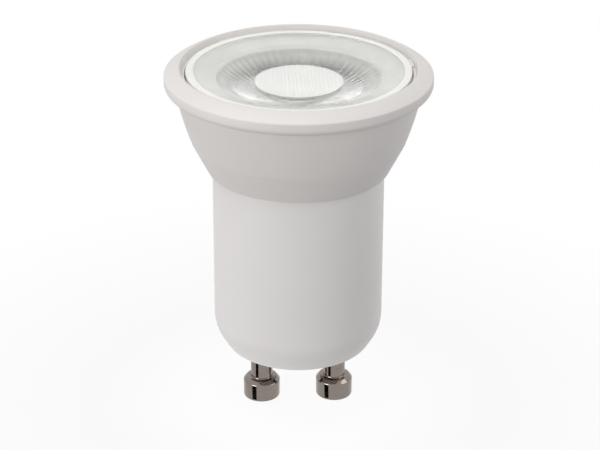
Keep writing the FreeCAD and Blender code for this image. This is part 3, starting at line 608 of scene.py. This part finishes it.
def clear_acrylic():
    material, tree = new_material("acrylic_moulded_clear")
    place = add(tree, "ShaderNodeTexCoord").outputs["Object"]
    flow = speckled(tree, place, 3.0, detail=2.0)
    flat = add(tree, "ShaderNodeVectorMath", {0: place, 1: (1, 1, 0)}, operation="MULTIPLY")
    radius = add(tree, "ShaderNodeVectorMath", {0: flat.outputs[0]}, operation="LENGTH").outputs["Value"]
    height = add(tree, "ShaderNodeSeparateXYZ", {0: place}).outputs["Z"]
    polished = add(tree, "ShaderNodeBsdfPrincipled", {
        "Base Color": graded(tree, flow, "#FCFDFB", "#FFFFFE"),
        "Roughness": 0.015,
        "IOR": 1.49,
        "Transmission Weight": 1.0,
    })
    satin = add(tree, "ShaderNodeBsdfPrincipled", {
        "Base Color": graded(tree, flow, "#F9FAF6", "#FEFEFB"),
        "Roughness": 0.3,
        "IOR": 1.49,
        "Transmission Weight": 0.1,
        "Coat Weight": 1.0,
    })
    haze = ramp_mm(tree, radius, DISH_EDGE, 0.1, 0.25)
    spot = ramp_mm(tree, radius, SPOT_EDGE, 0.9, 0.0)
    rim = ramp_mm(tree, radius, RIM_EDGE, 0.0, 0.85)
    in_front = greater(tree, greater(tree, haze, spot), rim)
    flank = ramp_mm(tree, radius, FLANK_HAZE, 0.03, 0.9)
    behind = ramp_mm(tree, radius, PLATE_EDGE, flank, 0.92)
    # The back starts below the dish floor inside, and at the seat outside
    back_level = ramp_mm(tree, radius, PLATE_EDGE, (DISH_FLOOR - 0.3) * MM, (LENS_SEAT + 0.04) * MM)
    above_back = add(tree, "ShaderNodeMath", {0: height, 1: back_level}, operation="SUBTRACT").outputs[0]
    is_front = ramp_mm(tree, above_back, (-0.02, 0.02), 0.0, 1.0)
    share = ramp(tree, is_front, 0.0, 1.0, behind, in_front)
    surface = add(tree, "ShaderNodeMixShader", {0: share, 1: polished.outputs[0], 2: satin.outputs[0]})
    add(tree, "ShaderNodeOutputMaterial", {"Surface": surface.outputs[0]})
    return material


finish_piece(lens, clear_acrylic(), "clear_lens", "lens")

# %% [markdown]
# What stands behind the lens is seen through it, and the driver in the base isn't seen at all unless the
# lamp is opened. These pieces keep the construction's own meshes, and each gets the finish of its real
# material.

# %% Finishes of the inner pieces
def inner_finish(name, light, dark, roughness, grain_mm, metallic=0.0, relief_mm=0.01, clear_coat=0.0):
    """A plain real surface: two close tones, a roughness that varies, and a fine relief."""
    material, tree = new_material(name)
    place = add(tree, "ShaderNodeTexCoord").outputs["Object"]
    grain = speckled(tree, place, grain_mm)
    relief = add(tree, "ShaderNodeBump", {"Height": grain, "Distance": relief_mm * MM, "Strength": 0.4})
    surface = add(tree, "ShaderNodeBsdfPrincipled", {
        "Base Color": graded(tree, grain, dark, light),
        "Metallic": metallic,
        "Roughness": mapped(tree, grain, roughness - 0.05, roughness + 0.05),
        "Coat Weight": clear_coat,
        "Normal": relief.outputs["Normal"],
    })
    add(tree, "ShaderNodeOutputMaterial", {"Surface": surface.outputs["BSDF"]})
    return material


FINISHES = {
    # Pressed aluminium sheet, satin from the press tool: a soft grey that mirrors only broadly
    "aluminium_pressed_satin": (["heat_sink"], dict(
        light="#F1F2F1", dark="#E8EAE9", roughness=0.42, grain_mm=0.6, metallic=1.0)),
    # Silicone pad filled with ceramic powder: dull and slightly mottled
    "silicone_thermal_pad": (["thermal_pad"], dict(
        light="#A9B2B6", dark="#9AA4A8", roughness=0.8, grain_mm=0.3)),
    # White solder mask, printed and baked: an even, slightly glossy white
    "solder_mask_white_baked": (["led_board"], dict(
        light="#F1F1EE", dark="#E9E9E5", roughness=0.35, grain_mm=0.4)),
    # Fired ceramic: dense white, faintly granular
    "alumina_fired_white": (["led_package"], dict(
        light="#F3F3F0", dark="#EBEBE6", roughness=0.45, grain_mm=0.2)),
    # Phosphor powder set in silicone: matt yellow with a soft skin
    "phosphor_in_silicone": (["led_phosphor"], dict(
        light="#F4E07A", dark="#EBD05C", roughness=0.5, grain_mm=0.12)),
    # Zinc-plated steel: bluish bright metal
    "steel_zinc_plated": (["board_screws"], dict(
        light="#C9CCCE", dark="#B5B9BC", roughness=0.28, grain_mm=0.25, metallic=1.0)),
    # Glass-fibre board under green solder mask: the weave shows faintly
    "glass_fibre_green_mask": (["driver_board"], dict(
        light="#2E7A48", dark="#24643A", roughness=0.35, grain_mm=0.5)),
    # Shrunk sleeve: thin glossy film
    "pvc_sleeve_shrunk_black": (["bulk_capacitor", "output_capacitor"], dict(
        light="#23262B", dark="#17191D", roughness=0.25, grain_mm=0.6)),
    # Sintered ferrite: dark grey and slightly porous
    "ferrite_sintered": (["inductor_core"], dict(
        light="#3A3A3D", dark="#2A2A2D", roughness=0.55, grain_mm=0.15)),
    # Enamelled copper wire: warm metal under clear varnish
    "copper_wire_enamelled": (["inductor_winding"], dict(
        light="#C4713B", dark="#A85B2C", roughness=0.3, grain_mm=0.3,
        metallic=1.0, relief_mm=0.03, clear_coat=0.6)),
    # Moulded case of the film capacitor
    "epoxy_case_yellow": (["film_capacitor"], dict(
        light="#D39A34", dark="#C28A28", roughness=0.4, grain_mm=0.5)),
    # Black epoxy moulding compound
    "epoxy_moulded_black": (["bridge_rectifier", "driver_chip", "freewheel_diode"], dict(
        light="#242426", dark="#18181A", roughness=0.6, grain_mm=0.15)),
    # Baked lacquer over the resistor's winding
    "lacquer_baked_grey_blue": (["fusible_resistor"], dict(
        light="#7C9AA6", dark="#6C8A97", roughness=0.35, grain_mm=0.4)),
    # Small fired chips
    "ceramic_chip_tan": (["chip_resistors", "chip_capacitors"], dict(
        light="#C2A987", dark="#B09775", roughness=0.5, grain_mm=0.2)),
    # Silicone insulation, slightly dusty from its talc
    "silicone_insulation_brown": (["live_lead"], dict(
        light="#6B4330", dark="#5C3826", roughness=0.55, grain_mm=0.3)),
    "silicone_insulation_blue": (["neutral_lead"], dict(
        light="#35589B", dark="#2C4B88", roughness=0.55, grain_mm=0.3)),
    "silicone_insulation_white": (["led_lead_positive"], dict(
        light="#EDEDEA", dark="#E2E2DE", roughness=0.55, grain_mm=0.3)),
    "silicone_insulation_black": (["led_lead_negative"], dict(
        light="#26262A", dark="#1B1B1E", roughness=0.55, grain_mm=0.3)),
}
for finish_name, (nodes, recipe) in FINISHES.items():
    inner = inner_finish(finish_name, **recipe)
    for node in nodes:
        node_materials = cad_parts[node].data.materials
        node_materials.clear()
        node_materials.append(inner)
print("inner finishes:", len(FINISHES))

# %% [markdown]
# The photograph is a product shot on white, taken from a little above the lens with a long lens. The
# camera below was worked out from the flange's size and the way the lamp narrows towards its pins.

# %% Camera
PICTURE_WIDTH = 600
FOCAL_PIXELS = 2110.8
CAMERA_BACK = 255.4
CAMERA_ABOVE_CREST = 97.85
CAMERA_PITCH = 25.29
CAMERA_TURN = -2.63
CAMERA_ASIDE = 0.22
CAMERA_ROLL = 0.2

camera_data = bpy.data.cameras.new("camera")
camera_data.sensor_width = 36.0
camera_data.lens = FOCAL_PIXELS / PICTURE_WIDTH * camera_data.sensor_width
camera_data.clip_start = 0.01
camera = bpy.data.objects.new("camera", camera_data)
bpy.context.scene.collection.objects.link(camera)
turn = math.radians(CAMERA_TURN)
back = Vector((math.sin(turn), -math.cos(turn), 0))
right = Vector((math.cos(turn), math.sin(turn), 0))
camera.location = (back * CAMERA_BACK + right * CAMERA_ASIDE) * MM
camera.location.z = (CREST + CAMERA_ABOVE_CREST) * MM
look = (Matrix.Rotation(turn, 3, "Z") @ Matrix.Rotation(math.radians(90 - CAMERA_PITCH), 3, "X")
        @ Matrix.Rotation(math.radians(CAMERA_ROLL), 3, "Z"))
camera.rotation_euler = look.to_euler()
bpy.context.scene.camera = camera
print("camera at", [round(value, 4) for value in camera.location])

# %% [markdown]
# The studio's surround is white only where the camera, a reflection or the clear lens looks at it. For the
# light that it sheds it is dimmer, so that the white plastic keeps its shading. The Light Path node tells
# the kinds of ray apart.

# %% White surround
WORLD_GLOW = 0.46


def studio_world():
    world = bpy.data.worlds.new("studio")
    bpy.context.scene.world = world
    world.use_nodes = True
    tree = world.node_tree
    tree.nodes.clear()
    seen = add(tree, "ShaderNodeLightPath").outputs
    seen_or_mirrored = greater(tree, seen["Is Camera Ray"], seen["Is Glossy Ray"])
    any_view = greater(tree, seen_or_mirrored, seen["Is Transmission Ray"])
    glow = ramp(tree, any_view, 0.0, 1.0, WORLD_GLOW, 1.0)
    light = add(tree, "ShaderNodeBackground", {"Color": (1, 1, 1, 1), "Strength": glow})
    add(tree, "ShaderNodeOutputWorld", {"Surface": light.outputs["Background"]})


studio_world()
print("the surround sheds", WORLD_GLOW, "of the light that it shows")

# %% [markdown]
# The floor is a card that is white round the lamp's foot and greyer further out, so that the cup's
# underside is shaded. It takes the lamp's shadow, and to the camera it fades to the white of the surround.
# Reflections don't see it, so that the pins mirror the whole studio.

# %% Pale floor
FLOOR_RADIUS = 70
FLOOR_DROP = 0.02
FLOOR_SIDES = 96
WHITE_TO_GREY = (14, 28)
FADE_TO_SURROUND = (0.3 * FLOOR_RADIUS, 0.97 * FLOOR_RADIUS)


def white_card():
    material, tree = new_material("matt_white_card")
    place = add(tree, "ShaderNodeTexCoord").outputs["Object"]
    distance = add(tree, "ShaderNodeVectorMath", {0: place}, operation="LENGTH").outputs["Value"]
    outward = ramp_mm(tree, distance, WHITE_TO_GREY, 0.0, 1.0)
    near = graded(tree, speckled(tree, place, 2.0), "#F2F2F2", "#F6F6F6")
    tint = add(tree, "ShaderNodeMix", {"Factor": outward, "A": near, "B": linear("#666666")},
               data_type="RGBA").outputs["Result"]
    card = add(tree, "ShaderNodeBsdfDiffuse", {"Color": tint})
    white = add(tree, "ShaderNodeEmission", {"Color": (1, 1, 1, 1), "Strength": 1.0})
    seen = add(tree, "ShaderNodeLightPath").outputs
    fade = ramp_mm(tree, distance, FADE_TO_SURROUND, 0.93, 1.0)
    share = add(tree, "ShaderNodeMath", {0: seen["Is Camera Ray"], 1: fade}, operation="MULTIPLY")
    both = add(tree, "ShaderNodeMixShader", {0: share.outputs[0], 1: card.outputs[0], 2: white.outputs[0]})
    add(tree, "ShaderNodeOutputMaterial", {"Surface": both.outputs[0]})
    return material


def flat_sheet(name, corners_mm, material):
    """One flat face that belongs to the studio and not to the lamp."""
    mesh = bpy.data.meshes.new(name)
    mesh.from_pydata([Vector(corner) * MM for corner in corners_mm], [], [range(len(corners_mm))])
    mesh.materials.append(material)
    sheet = bpy.data.objects.new(name, mesh)
    bpy.context.scene.collection.objects.link(sheet)
    return sheet


def circle(radius, sides):
    """Corners of a level disc."""
    angles = [2 * math.pi * step / sides for step in range(sides)]
    return [(radius * math.cos(angle), radius * math.sin(angle), 0) for angle in angles]


floor = flat_sheet("floor", circle(FLOOR_RADIUS, FLOOR_SIDES), white_card())
floor.location.z = -FLOOR_DROP * MM
floor.visible_glossy = False
print("floor", FLOOR_RADIUS * 2, "mm across")

# %% [markdown]
# Bright metal gets its shape from what it mirrors. A product photographer stands a black card, called a
# flag, beside the camera for that, and here one stands low on the left. Only reflections see it, and it
# draws the dark line down each pin.

# %% Black flag
FLAG_PLACE = (-234, -187, -165)
FLAG_WIDTH = 160
FLAG_HEIGHT = 150


def black_card():
    material, tree = new_material("matt_black_card")
    card = add(tree, "ShaderNodeBsdfDiffuse", {"Color": linear("#0C0C0C")})
    add(tree, "ShaderNodeOutputMaterial", {"Surface": card.outputs[0]})
    return material


aside = FLAG_WIDTH / 2
upward = FLAG_HEIGHT / 2
flag_corners = [(-aside, 0, -upward), (aside, 0, -upward), (aside, 0, upward), (-aside, 0, upward)]
flag = flat_sheet("black_flag", flag_corners, black_card())
flag.location = Vector(FLAG_PLACE) * MM
flag.rotation_euler.z = math.atan2(FLAG_PLACE[1], FLAG_PLACE[0]) + math.pi / 2
flag.visible_camera = False
flag.visible_diffuse = False
flag.visible_transmission = False
flag.visible_shadow = False
print("black flag", FLAG_WIDTH, "by", FLAG_HEIGHT, "mm")

# %% [markdown]
# Three soft lamps: a large one overhead, one low on the left that lights the cup and the base, and a weak
# one on the right. A lamp as wide as it is far away would leave hardly any shading, and a small one throws
# a hard shadow, so each is about half as wide as it is far away.

# %% Soft lamps
LAMP_TARGET = (0, 0, 26)
LAMPS = {
    "key_lamp": dict(place=(-90, -40, 400), width=240, watts=0.66),
    "fill_lamp": dict(place=(-320, -280, 50), width=200, watts=0.78),
    "side_lamp": dict(place=(340, -120, 200), width=260, watts=0.36),
}


def soft_lamp(name, place, width, watts):
    data = bpy.data.lights.new(name, "AREA")
    data.shape = "SQUARE"
    data.size = width * MM
    data.energy = watts
    lamp = bpy.data.objects.new(name, data)
    lamp.location = Vector(place) * MM
    lamp.rotation_euler = (Vector(LAMP_TARGET) * MM - lamp.location).to_track_quat("-Z", "Y").to_euler()
    bpy.context.scene.collection.objects.link(lamp)


for lamp_name, recipe in LAMPS.items():
    soft_lamp(lamp_name, **recipe)
print("lamps:", ", ".join(LAMPS))

# %% [markdown]
# Light crosses the lens several times before it comes out again, so the paths may bounce often. The
# Standard view shows a white of strength 1 as white.

# %% Light paths and view
scene = bpy.context.scene
scene.cycles.max_bounces = 24
scene.cycles.diffuse_bounces = 12
scene.cycles.glossy_bounces = 16
scene.cycles.transmission_bounces = 24
scene.view_settings.view_transform = "Standard"
print("most bounces of a light path:", scene.cycles.max_bounces)
